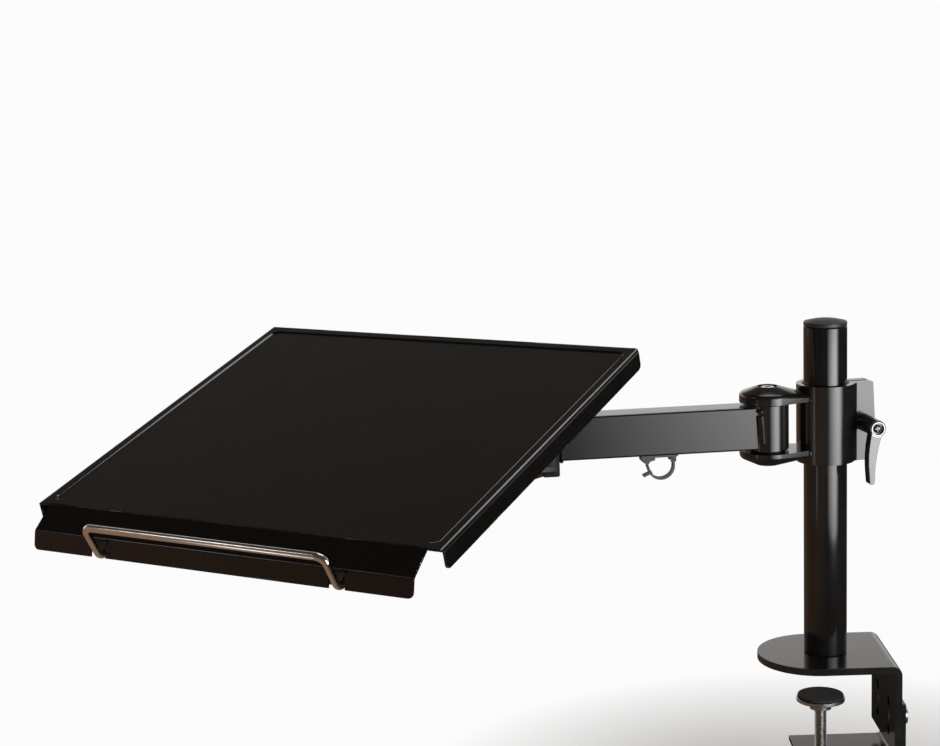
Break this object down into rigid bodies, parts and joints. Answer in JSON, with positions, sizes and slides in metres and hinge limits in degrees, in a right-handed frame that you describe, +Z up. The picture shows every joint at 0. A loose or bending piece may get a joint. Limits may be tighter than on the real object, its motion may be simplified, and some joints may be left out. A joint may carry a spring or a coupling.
{
  "type": "laptop tray mount",
  "caption": "Desk-clamped pole with a height collar, folding swing arms, a tilt head and a flanged sheet-steel laptop tray with a wire front stop.",
  "frame": {"origin": "on the pole's axis, at the desk's top surface, which is the underside of the desk pad", "axes": "+Z up along the pole; +X from the pole out over the desk's edge, square to the clamp's flange; +Y along the desk's edge, away from the user"},
  "size_m": [0.6393, 0.5194, 0.4366],
  "materials": {
    "gloss_black": "gloss black powder coat on steel",
    "cast_black": "satin black coat on a die-cast lever",
    "black_screws": "blackened steel",
    "zinc": "bright zinc plate",
    "bright_steel": "plain bright steel",
    "chrome_wire": "polished chrome plate",
    "nylon": "natural nylon",
    "black_plastic": "fine-grained black plastic",
    "clip_plastic": "smooth dark grey plastic",
    "rubber": "black foam rubber"
  },
  "bodies": {
    "clamp_and_pole": {"clamp_bracket": "gloss_black", "desk_pad": "rubber", "clamp_jaw": "gloss_black", "jaw_bolt_front": "zinc", "jaw_bolt_back": "zinc", "jaw_nut": "gloss_black", "pole_tube": "gloss_black", "pole_cap": "black_plastic", "pole_foot_plug": "zinc", "pole_bolt": "zinc"},
    "pressure_foot": {"pressure_disc": "zinc", "pressure_pad": "rubber"},
    "knob_screw": {"clamp_screw": "zinc", "clamp_knob": "black_plastic"},
    "height_bush": {"collar_bush": "nylon"},
    "collar": {"height_collar": "gloss_black", "collar_washer": "zinc", "collar_nut": "zinc", "elbow_bolt": "bright_steel", "elbow_nut": "zinc", "elbow_bush_upper": "nylon", "elbow_bush_lower": "nylon"},
    "lever": {"clamp_lever": "cast_black", "lever_stud": "zinc", "lever_screw": "bright_steel"},
    "first_arm": {"arm_one": "gloss_black", "cable_clip_base": "clip_plastic", "middle_bolt": "bright_steel", "middle_nut": "zinc", "middle_bush_upper": "nylon", "middle_bush_lower": "nylon"},
    "clip_strap": {"cable_clip_strap": "clip_plastic"},
    "second_arm": {"arm_two": "gloss_black", "wrist_bolt": "bright_steel", "wrist_nut": "zinc", "wrist_bush_upper": "nylon", "wrist_bush_lower": "nylon"},
    "head": {"tilt_head": "gloss_black", "tilt_washer_left": "nylon", "tilt_washer_right": "nylon"},
    "tray": {"laptop_tray": "gloss_black", "tilt_bracket": "gloss_black", "tilt_bolt": "bright_steel", "tilt_nut": "zinc", "tray_screw_1": "black_screws", "tray_screw_2": "black_screws", "tray_screw_3": "black_screws", "tray_screw_4": "black_screws", "tray_nut_1": "zinc", "tray_nut_2": "zinc", "tray_nut_3": "zinc", "tray_nut_4": "zinc", "wire_guide_left": "black_plastic", "wire_guide_right": "black_plastic", "guide_screw_left": "black_screws", "guide_screw_right": "black_screws"},
    "front_stop": {"wire_stop": "chrome_wire"}
  },
  "joints": [
    {"name": "clamp_lift", "type": "slide", "parent": "clamp_and_pole", "child": "pressure_foot", "axis": [0, 0, 1], "range_m": [-0.036, 0.02]},
    {"name": "clamp_spin", "type": "hinge", "parent": "pressure_foot", "child": "knob_screw", "pos_m": [-0.004, 0, -0.06], "axis": [0, 0, 1], "range_deg": [-8640, 4800]},
    {"name": "collar_height", "type": "slide", "parent": "clamp_and_pole", "child": "height_bush", "axis": [0, 0, 1], "range_m": [-0.14, 0.045]},
    {"name": "collar_swivel", "type": "hinge", "parent": "height_bush", "child": "collar", "pos_m": [0, 0, 0.2013], "axis": [0, 0, 1], "continuous": true},
    {"name": "lever_turn", "type": "hinge", "parent": "collar", "child": "lever", "pos_m": [0.02913, 0.00577, 0.2002], "axis": [0.1942, -0.981, 0], "range_deg": [-90, 90]},
    {"name": "elbow_swing", "type": "hinge", "parent": "collar", "child": "first_arm", "pos_m": [-0.04826, -0.00956, 0.2013], "axis": [0, 0, 1], "range_deg": [-110, 115]},
    {"name": "strap_open", "type": "hinge", "parent": "first_arm", "child": "clip_strap", "pos_m": [-0.12673, -0.0187, 0.179], "axis": [0.1158, -0.9933, 0], "range_deg": [0, 60]},
    {"name": "middle_swing", "type": "hinge", "parent": "first_arm", "child": "second_arm", "pos_m": [-0.25417, -0.03356, 0.2013], "axis": [0, 0, 1], "range_deg": [-160, 50]},
    {"name": "wrist_swing", "type": "hinge", "parent": "second_arm", "child": "head", "pos_m": [-0.34699, -0.21892, 0.2013], "axis": [0, 0, -1], "range_deg": [-90, 90]},
    {"name": "tray_tilt", "type": "hinge", "parent": "head", "child": "tray", "pos_m": [-0.36778, -0.25507, 0.2276], "axis": [0.8669, -0.4985, 0], "range_deg": [-25, 30]},
    {"name": "stop_slide", "type": "slide", "parent": "tray", "child": "front_stop", "axis": [-0.4801, -0.835, -0.2689], "range_m": [0, 0.025]}
  ],
  "couplings": [
    {"joint": "clamp_spin", "follows": "clamp_lift", "rad_per_m": 4188.8}
  ]
}
